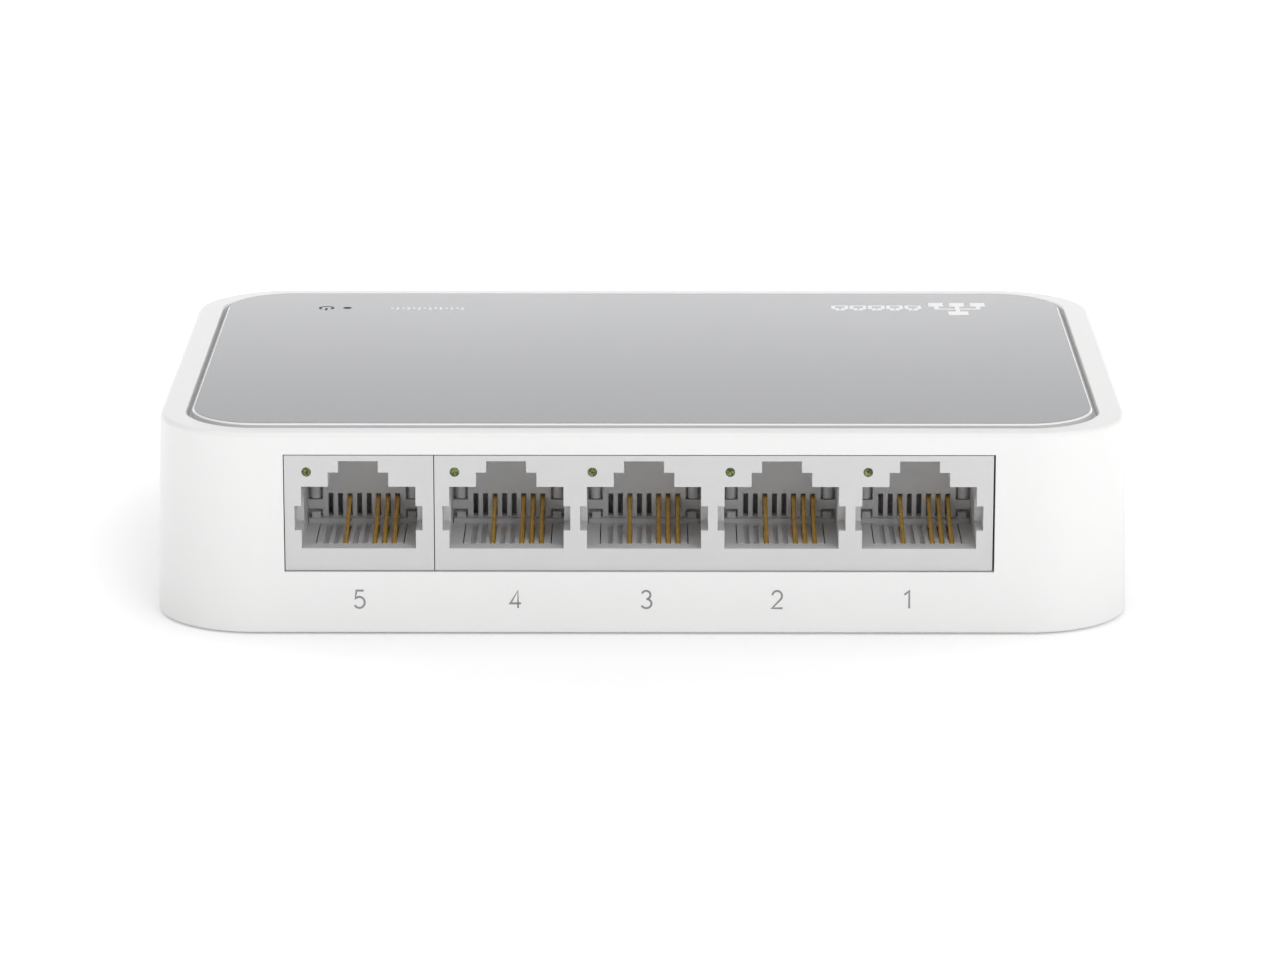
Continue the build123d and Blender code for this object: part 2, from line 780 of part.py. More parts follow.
def crystal():
    """Metal crystal can: a stadium with a base flange."""
    (x, y), (w, d, h) = crystal_centre, crystal_size
    base = Plane.XY.offset(board_top) * Pos(x, y)
    can = extrude(base * SlotOverall(w, d), amount=h)
    can = fillet(edges_at(can, board_top + h), crystal_fillet)
    wider, thick = crystal_flange
    return can + extrude(base * SlotOverall(w + wider, d + wider), amount=thick)


def capacitor(can):
    """Standing electrolytic can with a pinched groove, a scored top and two leads."""
    x, y = can["centre"]
    r, h = can["radius"], can["height"]
    top = board_top + h
    body = rod(x, y, board_top, top, r)
    body = fillet(edges_at(body, top), can_fillet)
    ring = Torus(r + can_groove["reach"], can_groove["radius"])
    body -= Pos(x, y, board_top + can_groove["height"]) * ring
    long, short = r * can_score["share"], can_score["half"]
    for dx, dy in ((long, short), (short, long)):
        body -= box(x - dx, x + dx, y - dy, y + dy, top - can_score["depth"], top + 1)
    for side in (-1, 1):
        body += rod(x + side * can_lead_offset, y, tail_low, board_top, can_lead_radius)
    return body


def block_part(centre, size, bevel):
    """Small moulded part standing on the board."""
    (x, y), (w, d, h) = centre, size
    body = box(x - w / 2, x + w / 2, y - d / 2, y + d / 2, board_top, board_top + h)
    return chamfer(edges_at(body, board_top + h), bevel)


def inductor():
    """Shielded power inductor: a square core with a round winding window."""
    x, y = inductor_centre
    body = block_part(inductor_centre, inductor_size, inductor_bevel)
    top = board_top + inductor_size[2]
    return body - rod(x, y, top - inductor_window["depth"], top + 1, inductor_window["radius"])


def regulator():
    """Eight-pin regulator body with its leads in the same node."""
    (x, y), (w, d, h) = regulator_centre, regulator_size
    low = board_top + regulator_lift
    solids = box(x - w / 2, x + w / 2, y - d / 2, y + d / 2, low, low + h).solids()
    for i in range(regulator_pins):
        px = x + (i - (regulator_pins - 1) / 2) * regulator_pitch
        for direction in ("+y", "-y"):
            lead = gull_lead(px, y, direction, d / 2, regulator_lead_height, regulator_lead)
            solids += lead.solids()
    return Compound(children=solids)


def small_parts(rows, size):
    """Rows of chip parts."""
    w, d, h = size
    parts = []
    for x, y, count in rows:
        for i in range(count):
            px = x + i * row_pitch
            parts += box(px - w / 2, px + w / 2, y - d / 2, y + d / 2, board_top, board_top + h).solids()
    return Compound(children=parts)


def main():
    centres = port_centres()
    save("upper_housing", upper_housing())
    save("top_plate", top_plate())
    save("plate_adhesive", plate_adhesive())
    save("top_overlay", top_overlay())
    save("power_light_guide", power_light_guide())
    save("bottom_cover", bottom_cover())
    save("rating_label", rating_label())
    for name, place in foot_places.items():
        save(name, foot(place))
    save("case_screws", case_screws())
    save("board_screws", board_screws())
    save("circuit_board", circuit_board())
    save("single_jack_housing", jack_housing(window_left + window_gap, jack_divider - window_gap / 2, [5]))
    right = window_right - 2 * window_gap
    save("quad_jack_housing", jack_housing(jack_divider + window_gap / 2, right, [4, 3, 2, 1]))
    for n, x in centres.items():
        save(f"contact_carrier_{n}", contact_carrier(x))
        save(f"contact_springs_{n}", contact_springs(x))
        save(f"contact_leads_{n}", contact_leads(x))
        save(f"link_light_guide_{n}", link_light_guide(x))
    lamps = [lamp_at(x + lamp_offset, jack_face + guide_drop_depth) for x in centres.values()]
    save("link_lamps", Compound(children=[s for lamp in lamps for s in lamp.solids()]))
    save("power_lamp", lamp_at(*power_lamp_place))
    save("power_inlet_housing", power_inlet_housing())
    save("power_inlet_pin", power_inlet_pin())
    save("power_inlet_spring", power_inlet_spring())
    save("power_inlet_anchor", power_inlet_anchor())
    save("power_inlet_switch", power_inlet_switch())
    save("quad_transformer", module_body(quad_module))
    save("quad_transformer_leads", module_leads(quad_module))
    save("single_transformer", module_body(single_module))
    save("single_transformer_leads", module_leads(single_module))
    save("switch_chip", chip_body())
    save("switch_chip_leads", chip_leads())
    save("crystal_can", crystal())
    save("bulk_capacitor_1", capacitor(capacitor_large))
    save("bulk_capacitor_2", capacitor(capacitor_small))
    save("power_inductor", inductor())
    save("regulator", regulator())
    save("input_diode", block_part(diode_centre, diode_size, diode_bevel))
    save("chip_capacitors", small_parts(capacitor_rows, small_chip_size))
    save("chip_resistors", small_parts(resistor_rows, resistor_size))


main()
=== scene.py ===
import json
import math
import bpy
import numpy as np
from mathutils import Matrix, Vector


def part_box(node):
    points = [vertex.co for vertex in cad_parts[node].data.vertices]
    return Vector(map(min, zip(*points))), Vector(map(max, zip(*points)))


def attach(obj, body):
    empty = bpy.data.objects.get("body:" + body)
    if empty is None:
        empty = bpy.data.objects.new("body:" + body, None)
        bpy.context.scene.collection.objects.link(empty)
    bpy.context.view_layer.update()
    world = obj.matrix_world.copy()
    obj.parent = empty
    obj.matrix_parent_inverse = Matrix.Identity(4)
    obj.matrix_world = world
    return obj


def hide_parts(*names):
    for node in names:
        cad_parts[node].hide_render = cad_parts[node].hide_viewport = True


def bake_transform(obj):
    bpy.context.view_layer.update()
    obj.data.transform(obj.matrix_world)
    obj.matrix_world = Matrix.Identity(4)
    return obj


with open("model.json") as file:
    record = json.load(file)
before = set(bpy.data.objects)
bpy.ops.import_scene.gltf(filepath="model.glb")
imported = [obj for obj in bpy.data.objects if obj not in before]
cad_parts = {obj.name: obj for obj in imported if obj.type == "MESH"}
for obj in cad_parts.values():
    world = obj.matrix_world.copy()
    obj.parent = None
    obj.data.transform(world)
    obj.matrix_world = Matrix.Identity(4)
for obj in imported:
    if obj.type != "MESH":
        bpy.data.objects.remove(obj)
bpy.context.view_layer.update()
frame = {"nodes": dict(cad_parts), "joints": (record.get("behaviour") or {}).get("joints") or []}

mm = 0.001
body = "switch_body"
nodes = frame["nodes"]

# ---- camera first: a long lens, a little above the port side
cameraLook = {
    "lens": 146.2,
    "place": (1.31, -559.94, 154.26),   # mm
    "tilt": 75.33,                      # degrees up from looking straight down
    "turn": 0.166,                      # degrees, anticlockwise seen from above
    "sensor": 36.0,
    "near": 0.01, "far": 20.0,          # metres
}
cam = bpy.data.cameras.new("camera")
cam.lens = cameraLook["lens"]
cam.sensor_width = cameraLook["sensor"]
cam.clip_start = cameraLook["near"]
cam.clip_end = cameraLook["far"]
camObject = bpy.data.objects.new("camera", cam)
camObject.location = [v * mm for v in cameraLook["place"]]
camObject.rotation_euler = (math.radians(cameraLook["tilt"]), 0, math.radians(cameraLook["turn"]))
bpy.context.scene.collection.objects.link(camObject)
bpy.context.scene.camera = camObject
bpy.context.scene.view_settings.view_transform = "Standard"
print("camera set")


# ---- mesh makers
# Quads between neighbours on an nu by nv grid, closed round either way
def gridFaces(nu, nv, wrapU=False, wrapV=False):
    i = np.arange(nu if wrapU else nu - 1)
    j = np.arange(nv if wrapV else nv - 1)
    a, b = np.meshgrid(i, j, indexing="ij")
    c, d = (a + 1) % nu, (b + 1) % nv
    return np.stack([a * nv + b, c * nv + b, c * nv + d, a * nv + d], -1).reshape(-1, 4)


# Faces of a closed shape, turned over if its volume comes out negative. The volume is a sixth of
# the sum, over fans of triangles, of each corner's dot with the cross of the next two.
def outward(co, groups):
    volume = 0.0
    for faces in groups:
        for k in range(1, faces.shape[1] - 1):
            p, q, r = co[faces[:, 0]], co[faces[:, k]], co[faces[:, k + 1]]
            volume += np.einsum("ij,ij->", p, np.cross(q, r))
    return [faces if volume > 0 else faces[:, ::-1] for faces in groups]


# Several shapes, each (corners, face groups), put one after another in one mesh
def joined(shapes):
    corners, faces, start = [], [], 0
    for co, groups in shapes:
        corners.append(co)
        for group in outward(co, groups):
            faces += (group + start).tolist()
        start += len(co)
    return np.vstack(corners), faces


# A closed skin of rings: rows of n points, then one point beyond each end ring to close it
def ringSkin(rings, firstPole, lastPole):
    m, n = rings.shape[:2]
    co = np.vstack([rings.reshape(-1, 3), firstPole, lastPole])
    k = np.arange(n)
    after = (k + 1) % n
    first = np.stack([np.full(n, m * n), after, k], -1)
    last = np.stack([np.full(n, m * n + 1), (m - 1) * n + k, (m - 1) * n + after], -1)
    return co, [gridFaces(m, n, wrapV=True), first, last]


def meshObject(name, co, faces, smooth=True):
    mesh = bpy.data.meshes.new(name)
    mesh.from_pydata(np.asarray(co).tolist(), [], [list(f) for f in faces])
    mesh.polygons.foreach_set("use_smooth", np.full(len(mesh.polygons), smooth))
    mesh.update()
    made = bpy.data.objects.new(name, mesh)
    bpy.context.scene.collection.objects.link(made)
    return made


# A finished piece from shapes in millimetres: its finish and the body it rides on
def makePiece(name, shapes, finish, rideOn=body, smooth=True):
    co, faces = joined(shapes)
    piece = meshObject(name, co * mm, faces, smooth)
    piece.data.materials.append(materials[finish])
    if rideOn:
        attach(piece, rideOn)
    return piece


# Arc of an ellipse: the centre plus (rx cos a, ry sin a) as the angle goes from start to stop
def arc(cx, cy, rx, ry, start, stop, count=16):
    a = np.radians(np.linspace(start, stop, count))
    return np.stack([cx + rx * np.cos(a), cy + ry * np.sin(a)], -1)


# Heights of the ink over the face it is printed on, in mm. Strokes that cross have their own heights.
inkLook = {"high": 0.012, "across": 0.011, "along": 0.010, "low": -0.03, "sharpest": 0.5}


# A printed stroke: a bar of four-point rings carried along a flat path. Each edge stands half the
# width to the side, along the mitre of the two neighbouring runs: the sum of their side vectors
# over one plus their dot. place turns (u, v, height) into the object's millimetres.
def stroke(path, width, place, high=inkLook["high"], closed=False):
    path = np.asarray(path, float)
    runs = np.diff(np.vstack([path, path[:1]]) if closed else path, axis=0)
    runs /= np.linalg.norm(runs, axis=1)[:, None]
    after = runs if closed else np.vstack([runs, runs[-1:]])
    before = np.roll(runs, 1, axis=0) if closed else np.vstack([runs[:1], runs])
    sideA = np.stack([-before[:, 1], before[:, 0]], -1)
    sideB = np.stack([-after[:, 1], after[:, 0]], -1)
    mitre = (sideA + sideB) / np.maximum(1 + (sideA * sideB).sum(1), inkLook["sharpest"])[:, None]
    left, right = path + mitre * width / 2, path - mitre * width / 2
    low = inkLook["low"]
    ring = [place(left, high), place(right, high), place(right, low), place(left, low)]
    co = np.stack(ring, 1).reshape(-1, 3)
    m = len(path)
    groups = [gridFaces(m, 4, wrapU=closed, wrapV=True)]
    if not closed:
        groups.append(np.array([[3, 2, 1, 0], [4 * m - 4, 4 * m - 3, 4 * m - 2, 4 * m - 1]]))
    return co, groups


# ---- materials: every one reads Object coordinates, in metres
def newMaterial(name):
    mat = bpy.data.materials.new(name)
    mat.use_nodes = True
    tree = mat.node_tree
    tree.nodes.clear()
    out = tree.nodes.new("ShaderNodeOutputMaterial")
    shader = tree.nodes.new("ShaderNodeBsdfPrincipled")
    tree.links.new(shader.outputs["BSDF"], out.inputs["Surface"])
    coords = tree.nodes.new("ShaderNodeTexCoord")
    return mat, tree, shader, coords


# Noise of a given scale per metre, stretched along the axes
def noiseNode(tree, coords, scale, detail=3.0, roughness=0.5, stretch=(1, 1, 1)):
    mapping = tree.nodes.new("ShaderNodeMapping")
    mapping.inputs["Scale"].default_value = stretch
    noise = tree.nodes.new("ShaderNodeTexNoise")
    noise.inputs["Scale"].default_value = scale
    noise.inputs["Detail"].default_value = detail
    noise.inputs["Roughness"].default_value = roughness
    tree.links.new(coords.outputs["Object"], mapping.inputs["Vector"])
    tree.links.new(mapping.outputs["Vector"], noise.inputs["Vector"])
    return noise.outputs["Fac"]


# Colour that runs from low to high as the source goes from start to end
def ramp(tree, source, low, high, start=0.3, end=0.7):
    node = tree.nodes.new("ShaderNodeValToRGB")
    node.color_ramp.elements[0].position = start
    node.color_ramp.elements[1].position = end
    node.color_ramp.elements[0].color = (*low, 1)
    node.color_ramp.elements[1].color = (*high, 1)
    tree.links.new(source, node.inputs["Fac"])
    return node.outputs["Color"]


# Number that runs from middle - half to middle + half as the source goes from 0.25 to 0.75
def spread(tree, source, middle, half):
    node = tree.nodes.new("ShaderNodeMapRange")
    node.inputs["From Min"].default_value = 0.25
    node.inputs["From Max"].default_value = 0.75
    node.inputs["To Min"].default_value = middle - half
    node.inputs["To Max"].default_value = middle + half
    tree.links.new(source, node.inputs["Value"])
    return node.outputs["Result"]


# Bump from pairs of a height and its depth in metres, one feeding the next
def bump(tree, shader, layers):
    last = None
    for source, depth in layers:
        node = tree.nodes.new("ShaderNodeBump")
        node.inputs["Distance"].default_value = depth
        tree.links.new(source, node.inputs["Height"])
        if last is not None:
            tree.links.new(last, node.inputs["Normal"])
        last = node.outputs["Normal"]
    tree.links.new(last, shader.inputs["Normal"])


# Refractive indices of materials that name none of their own
indexOf = {"moulded": 1.5, "acrylic": 1.49}


# Moulded plastic: cloudy colour, patchy gloss, and a fine spark-eroded grain
def mouldedPlastic(name, look):
    mat, tree, shader, coords = newMaterial(name)
    cloud = noiseNode(tree, coords, look["cloudScale"], detail=2.0)
    grain = noiseNode(tree, coords, look["grainScale"], detail=2.0, roughness=0.6)
    base = np.array(look["colour"])
    low, high = base * (1 - look["colourShift"]), np.minimum(base * (1 + look["colourShift"]), 1)
    tree.links.new(ramp(tree, cloud, low, high), shader.inputs["Base Color"])
    tree.links.new(spread(tree, cloud, look["rough"], look["roughShift"]), shader.inputs["Roughness"])
    bump(tree, shader, [(grain, look["grainDepth"]), (cloud, look["waveDepth"])])
    shader.inputs["IOR"].default_value = look.get("ior", indexOf["moulded"])
    shader.inputs["Transmission Weight"].default_value = look.get("clear", 0.0)
    return mat


# Tinted clear plastic in facets, as on a roughly cut light guide: random facets get a lighter colour, a
# painted glint, on top of the real facet bump and patchy gloss
def cutPlastic(name, look):
    mat, tree, shader, coords = newMaterial(name)
    facets = tree.nodes.new("ShaderNodeTexVoronoi")
    facets.inputs["Scale"].default_value = look["facetScale"]
    tree.links.new(coords.outputs["Object"], facets.inputs["Vector"])
    tone = tree.nodes.new("ShaderNodeSeparateColor")
    tree.links.new(facets.outputs["Color"], tone.inputs["Color"])
    # Painted glint: the lighter facet colour stands in for sparkle off the cut facets
    colour = ramp(tree, tone.outputs["Red"], look["dark"], look["glintTone"], *look["toneRange"])
    tree.links.new(colour, shader.inputs["Base Color"])
    tree.links.new(spread(tree, facets.outputs["Distance"], look["rough"], look["roughShift"]),
                   shader.inputs["Roughness"])
    bump(tree, shader, [(tone.outputs["Green"], look["facetDepth"])])
    shader.inputs["IOR"].default_value = look.get("ior", indexOf["acrylic"])
    return mat


# Drawn or plated metal: fine streaks along one axis and a patchy tarnish
def workedMetal(name, look):
    mat, tree, shader, coords = newMaterial(name)
    streak = noiseNode(tree, coords, look["streakScale"], roughness=0.6, stretch=look["stretch"])
    cloud = noiseNode(tree, coords, look["cloudScale"])
    tree.links.new(ramp(tree, cloud, look["dark"], look["colour"]), shader.inputs["Base Color"])
    tree.links.new(spread(tree, streak, look["rough"], look["roughShift"]), shader.inputs["Roughness"])
    bump(tree, shader, [(streak, look["streakDepth"])])
    shader.inputs["Metallic"].default_value = look.get("metal", 1.0)
    return mat


plastics = {
    "caseWhite": {"colour": (0.86, 0.86, 0.855), "colourShift": 0.008, "cloudScale": 60,
                  "grainScale": 6500, "grainDepth": 0.000012, "waveDepth": 0.00002,
                  "rough": 0.36, "roughShift": 0.04},
    "plateWhite": {"colour": (0.90, 0.90, 0.90), "colourShift": 0.006, "cloudScale": 50,
                   "grainScale": 6000, "grainDepth": 0.000006, "waveDepth": 0.00001,
                   "rough": 0.26, "roughShift": 0.03},
    "coverWhite": {"colour": (0.84, 0.84, 0.835), "colourShift": 0.01, "cloudScale": 80,
                   "grainScale": 3200, "grainDepth": 0.00003, "waveDepth": 0.00002,
                   "rough": 0.5, "roughShift": 0.05},
    "filmGrey": {"colour": (0.285, 0.29, 0.302), "colourShift": 0.004, "cloudScale": 40,
                 "grainScale": 9000, "grainDepth": 0.000002, "waveDepth": 0.0,
                 "rough": 0.2, "roughShift": 0.01},
    "adhesiveGrey": {"colour": (0.54, 0.54, 0.545), "colourShift": 0.05, "cloudScale": 350,
                     "grainScale": 3500, "grainDepth": 0.00002, "waveDepth": 0.00001,
                     "rough": 0.65, "roughShift": 0.08},
    "jackGrey": {"colour": (0.64, 0.64, 0.645), "colourShift": 0.015, "cloudScale": 300,
                 "grainScale": 5000, "grainDepth": 0.000010, "waveDepth": 0.00001,
                 "rough": 0.45, "roughShift": 0.06},
    "carrierGrey": {"colour": (0.60, 0.60, 0.61), "colourShift": 0.02, "cloudScale": 500,
                    "grainScale": 5000, "grainDepth": 0.000010, "waveDepth": 0.00001,
                    "rough": 0.38, "roughShift": 0.06},
    "footRubber": {"colour": (0.30, 0.30, 0.31), "colourShift": 0.08, "cloudScale": 500,
                   "grainScale": 3500, "grainDepth": 0.00004, "waveDepth": 0.00002,
                   "rough": 0.75, "roughShift": 0.08},
    "labelStock": {"colour": (0.80, 0.80, 0.79), "colourShift": 0.01, "cloudScale": 120,
                   "grainScale": 2500, "grainDepth": 0.000012, "waveDepth": 0.0,
                   "rough": 0.42, "roughShift": 0.05},
    "inletBlack": {"colour": (0.025, 0.025, 0.027), "colourShift": 0.15, "cloudScale": 400,
                   "grainScale": 4500, "grainDepth": 0.00002, "waveDepth": 0.00001,
                   "rough": 0.4, "roughShift": 0.08},
    "chipBlack": {"colour": (0.035, 0.035, 0.037), "colourShift": 0.15, "cloudScale": 600,
                  "grainScale": 5000, "grainDepth": 0.00002, "waveDepth": 0.0,
                  "rough": 0.6, "roughShift": 0.08},
    "boardGreen": {"colour": (0.03, 0.17, 0.075), "colourShift": 0.12, "cloudScale": 700,
                   "grainScale": 2200, "grainDepth": 0.00002, "waveDepth": 0.00001,
                   "rough": 0.35, "roughShift": 0.08},
    "sleeveBlack": {"colour": (0.03, 0.03, 0.05), "colourShift": 0.1, "cloudScale": 500,
                    "grainScale": 3000, "grainDepth": 0.00001, "waveDepth": 0.00001,
                    "rough": 0.3, "roughShift": 0.05},
    "ferrite": {"colour": (0.10, 0.10, 0.105), "colourShift": 0.12, "cloudScale": 900,
                "grainScale": 4000, "grainDepth": 0.00003, "waveDepth": 0.0,
                "rough": 0.6, "roughShift": 0.08},
    "ceramicTan": {"colour": (0.50, 0.37, 0.24), "colourShift": 0.1, "cloudScale": 900,
                   "grainScale": 5000, "grainDepth": 0.00001, "waveDepth": 0.0,
                   "rough": 0.45, "roughShift": 0.08},
    "lampClear": {"colour": (0.75, 0.72, 0.45), "colourShift": 0.05, "cloudScale": 900,
                  "grainScale": 4000, "grainDepth": 0.0, "waveDepth": 0.00001,
                  "rough": 0.2, "roughShift": 0.05},
    "guideClear": {"colour": (0.90, 0.93, 0.82), "colourShift": 0.02, "cloudScale": 400,
                   "grainScale": 3000, "grainDepth": 0.0, "waveDepth": 0.00001,
                   "rough": 0.12, "roughShift": 0.04, "clear": 0.9},
    "inkGrey": {"colour": (0.27, 0.27, 0.275), "colourShift": 0.05, "cloudScale": 900,
                "grainScale": 6000, "grainDepth": 0.000004, "waveDepth": 0.0,
                "rough": 0.5, "roughShift": 0.05},
    "inkDark": {"colour": (0.035, 0.038, 0.045), "colourShift": 0.08, "cloudScale": 900,
                "grainScale": 6000, "grainDepth": 0.000004, "waveDepth": 0.0,
                "rough": 0.6, "roughShift": 0.05, "ior": 1.3},
    "inkWhite": {"colour": (0.93, 0.93, 0.93), "colourShift": 0.01, "cloudScale": 900,
                 "grainScale": 6000, "grainDepth": 0.000004, "waveDepth": 0.0,
                 "rough": 0.45, "roughShift": 0.05},
}
metals = {
    "contactGold": {"colour": (0.95, 0.56, 0.14), "dark": (0.70, 0.46, 0.10), "cloudScale": 1400,
                    "streakScale": 5000, "stretch": (1.0, 0.08, 0.25), "streakDepth": 0.00001,
                    "rough": 0.38, "roughShift": 0.08, "metal": 0.75},
    "screwSteel": {"colour": (0.62, 0.62, 0.60), "dark": (0.42, 0.42, 0.41), "cloudScale": 900,
                   "streakScale": 2500, "stretch": (1.0, 0.3, 1.0), "streakDepth": 0.00003,
                   "rough": 0.32, "roughShift": 0.10},
    "inletNickel": {"colour": (0.72, 0.70, 0.66), "dark": (0.52, 0.50, 0.46), "cloudScale": 700,
                    "streakScale": 3000, "stretch": (0.1, 1.0, 1.0), "streakDepth": 0.00002,
                    "rough": 0.22, "roughShift": 0.08},
    "leadTin": {"colour": (0.74, 0.74, 0.75), "dark": (0.55, 0.55, 0.56), "cloudScale": 1500,
                "streakScale": 3000, "stretch": (1.0, 1.0, 0.2), "streakDepth": 0.00001,
                "rough": 0.34, "roughShift": 0.10},
    "canNickel": {"colour": (0.72, 0.72, 0.70), "dark": (0.58, 0.58, 0.56), "cloudScale": 500,
                  "streakScale": 1800, "stretch": (1.0, 0.2, 1.0), "streakDepth": 0.00002,
                  "rough": 0.26, "roughShift": 0.08},
}
cutClear = {
    # The lighter facet tones are painted glints; the darker tones are the tinted plastic itself
    "lensOlive": {"dark": (0.045, 0.065, 0.012), "glintTone": (0.25, 0.30, 0.08),
                  "toneRange": (0.35, 0.95), "facetScale": 4200, "facetDepth": 0.00005,
                  "rough": 0.22, "roughShift": 0.08},
    "lensDark": {"dark": (0.008, 0.012, 0.004), "glintTone": (0.06, 0.075, 0.03),
                 "toneRange": (0.35, 0.95), "facetScale": 5200, "facetDepth": 0.00004,
                 "rough": 0.5, "roughShift": 0.08, "ior": 1.25},
}
materials = {name: mouldedPlastic(name, look) for name, look in plastics.items()}
materials.update({name: workedMetal(name, look) for name, look in metals.items()})
materials.update({name: cutPlastic(name, look) for name, look in cutClear.items()})

# The top plate is white on its bevel; below the bevel its sides get a painted shade, a grey that stands
# in for the shade down in the groove
sideShadeLook = {"grey": (0.72, 0.72, 0.72), "bevel": 0.15, "fade": 0.02}   # mm down from the plate's top


# Mixes a second colour in below a height, over a short fade: here a painted shade on the plate's sides.
# Heights are in metres.
def paintShadeBelow(mat, top, look):
    tree = mat.node_tree
    shader = next(n for n in tree.nodes if n.type == "BSDF_PRINCIPLED")
    coords = next(n for n in tree.nodes if n.type == "TEX_COORD")
    height = tree.nodes.new("ShaderNodeSeparateXYZ")
    band = tree.nodes.new("ShaderNodeMapRange")
    band.inputs["From Min"].default_value = top - (look["bevel"] + look["fade"]) * mm
    band.inputs["From Max"].default_value = top - look["bevel"] * mm
    mix = tree.nodes.new("ShaderNodeMix")
    mix.data_type = "RGBA"
    mix.inputs["A"].default_value = (*look["grey"], 1)
    tree.links.new(coords.outputs["Object"], height.inputs["Vector"])
    tree.links.new(height.outputs["Z"], band.inputs["Value"])
    tree.links.new(band.outputs["Result"], mix.inputs["Factor"])
    tree.links.new(shader.inputs["Base Color"].links[0].from_socket, mix.inputs["B"])
    tree.links.new(mix.outputs["Result"], shader.inputs["Base Color"])


# Painted shade: the plate's sides below the bevel are greyed as if lying in the groove's shadow
paintShadeBelow(materials["plateWhite"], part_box("top_plate")[1].z, sideShadeLook)
print("materials made:", len(materials))

# ---- every CAD node gets its finish
ports = [5, 4, 3, 2, 1]
finishes = {
    "caseWhite": ["upper_housing"],
    "coverWhite": ["bottom_cover"],
    "plateWhite": ["top_plate"],
    "filmGrey": ["top_overlay"],
    "adhesiveGrey": ["plate_adhesive"],
    "guideClear": ["power_light_guide"] + [f"link_light_guide_{n}" for n in ports],
    "labelStock": ["rating_label"],
    "footRubber": ["foot_front_left", "foot_front_right", "foot_rear_left", "foot_rear_right"],
    "screwSteel": ["case_screws", "board_screws"],
    "boardGreen": ["circuit_board"],
    "jackGrey": ["single_jack_housing", "quad_jack_housing"],
    "carrierGrey": [f"contact_carrier_{n}" for n in ports],
    "contactGold": [f"contact_springs_{n}" for n in ports] + [f"contact_leads_{n}" for n in ports],
    "lampClear": ["link_lamps", "power_lamp"],
    "inletBlack": ["power_inlet_housing"],
    "inletNickel": ["power_inlet_pin", "power_inlet_spring", "power_inlet_anchor",
                    "power_inlet_switch"],
    "chipBlack": ["switch_chip", "regulator", "quad_transformer", "single_transformer",
                  "input_diode", "chip_resistors"],
    "leadTin": ["switch_chip_leads", "quad_transformer_leads", "single_transformer_leads"],
    "canNickel": ["crystal_can"],
    "sleeveBlack": ["bulk_capacitor_1", "bulk_capacitor_2"],
    "ferrite": ["power_inductor"],
    "ceramicTan": ["chip_capacitors"],
}
for finish, names in finishes.items():
    for name in names:
        mesh = nodes[name].data
        mesh.materials.clear()
        mesh.materials.append(materials[finish])
print("CAD nodes finished:", sum(len(v) for v in finishes.values()))


# ---- contact wires: fixed tail, hairpin and sprung arm in one piece of wire, bent at the hairpin
wireLook = {
    "radius": 0.24,
    "slots": (3, 6, 7, 8),   # the filled places of the eight, from the left
    "middle": 4.5,           # the port's centre, counted in places
    "pitch": 1.02,
    "rows": (9.80, 10.95),   # mm behind the hairpin's centre, of the tails of even and odd places
    "armReach": 8.95,        # mm behind the hairpin's centre, of the tip
    "hairpin": 0.43,         # radius of the hairpin's centre line
    "slope": 17.5,           # degrees, of the arm at rest
    "tailBend": 0.6,
    "tipBend": 1.2,          # radius of the turn-down at the tip
    "tipTurn": 24,           # degrees of the turn-down
    "round": 14,             # points round the wire
    "endShare": 0.02,        # least share of the wire's section at its ends
    "stillBelow": -0.35,     # height over the hairpin's centre, the lower split between tail and arm
    "movesAbove": 0.40,      # the upper split between tail and arm
}
jointAt = {j["name"]: np.array(j["pos_m"]) / mm for j in frame["joints"]}


# Tube of rings carried along a path in the YZ plane at one X: each ring is the wire's radius times
# cos a along X and sin a along the path's side vector, drawn in to a quarter round at both ends
def wireTube(x, path, look):
    r = look["radius"]
    step = np.gradient(path, axis=0)
    step /= np.linalg.norm(step, axis=1)[:, None]
    side = np.stack([-step[:, 1], step[:, 0]], -1)
    far = np.concatenate([[0], np.cumsum(np.linalg.norm(np.diff(path, axis=0), axis=1))])
    gap = np.minimum(np.minimum(far, far[-1] - far) / r, 1)
    size = r * np.sqrt(np.clip(1 - (1 - gap) ** 2, look["endShare"], 1))[:, None]
    a = 2 * np.pi * np.arange(look["round"])[None, :] / look["round"]
    rings = np.stack([
        x + size * np.cos(a),
        path[:, :1] + size * np.sin(a) * side[:, :1],
        path[:, 1:] + size * np.sin(a) * side[:, 1:],
    ], -1)
    return ringSkin(rings, [[x, *path[0]]], [[x, *path[-1]]])


# Route of one contact in the YZ plane: up from under the board, round a bend, forward along the
# slot, round the hairpin, up the arm's slope, and over a short arc that turns the tip down.
# The tail's points crowd towards its end as the square of an even step.
def contactRoute(tailLow, pinY, pinZ, tailBack, look):
    r, b, turn = look["hairpin"], look["tailBend"], look["tipBend"]
    slope = math.radians(look["slope"])
    low = pinZ - r
    even = np.linspace(0, 1, 12)[:-1]
    tail = np.stack([np.full(11, tailBack), tailLow + (low - b - tailLow) * even ** 2], -1)
    corner = arc(tailBack - b, low - b, b, b, 0, 90, count=10)
    back = np.stack([np.linspace(tailBack - b, pinY, 16), np.full(16, low)], -1)[1:-1]
    hairpin = arc(pinY, pinZ, r, r, 270, 90 + look["slope"], count=18)
    ahead = np.array([math.cos(slope), math.sin(slope)])
    run = (pinY + look["armReach"] - hairpin[-1, 0]) / ahead[0] - turn * math.radians(look["tipTurn"])
    arm = hairpin[-1] + np.linspace(0, run, 24)[1:, None] * ahead
    cy, cz = arm[-1] + turn * np.array([ahead[1], -ahead[0]])
    first = 90 + look["slope"]
    tip = arc(cy, cz, turn, turn, first, first - look["tipTurn"], count=12)[1:]
    return np.vstack([tail, corner, back, hairpin, arm, tip])


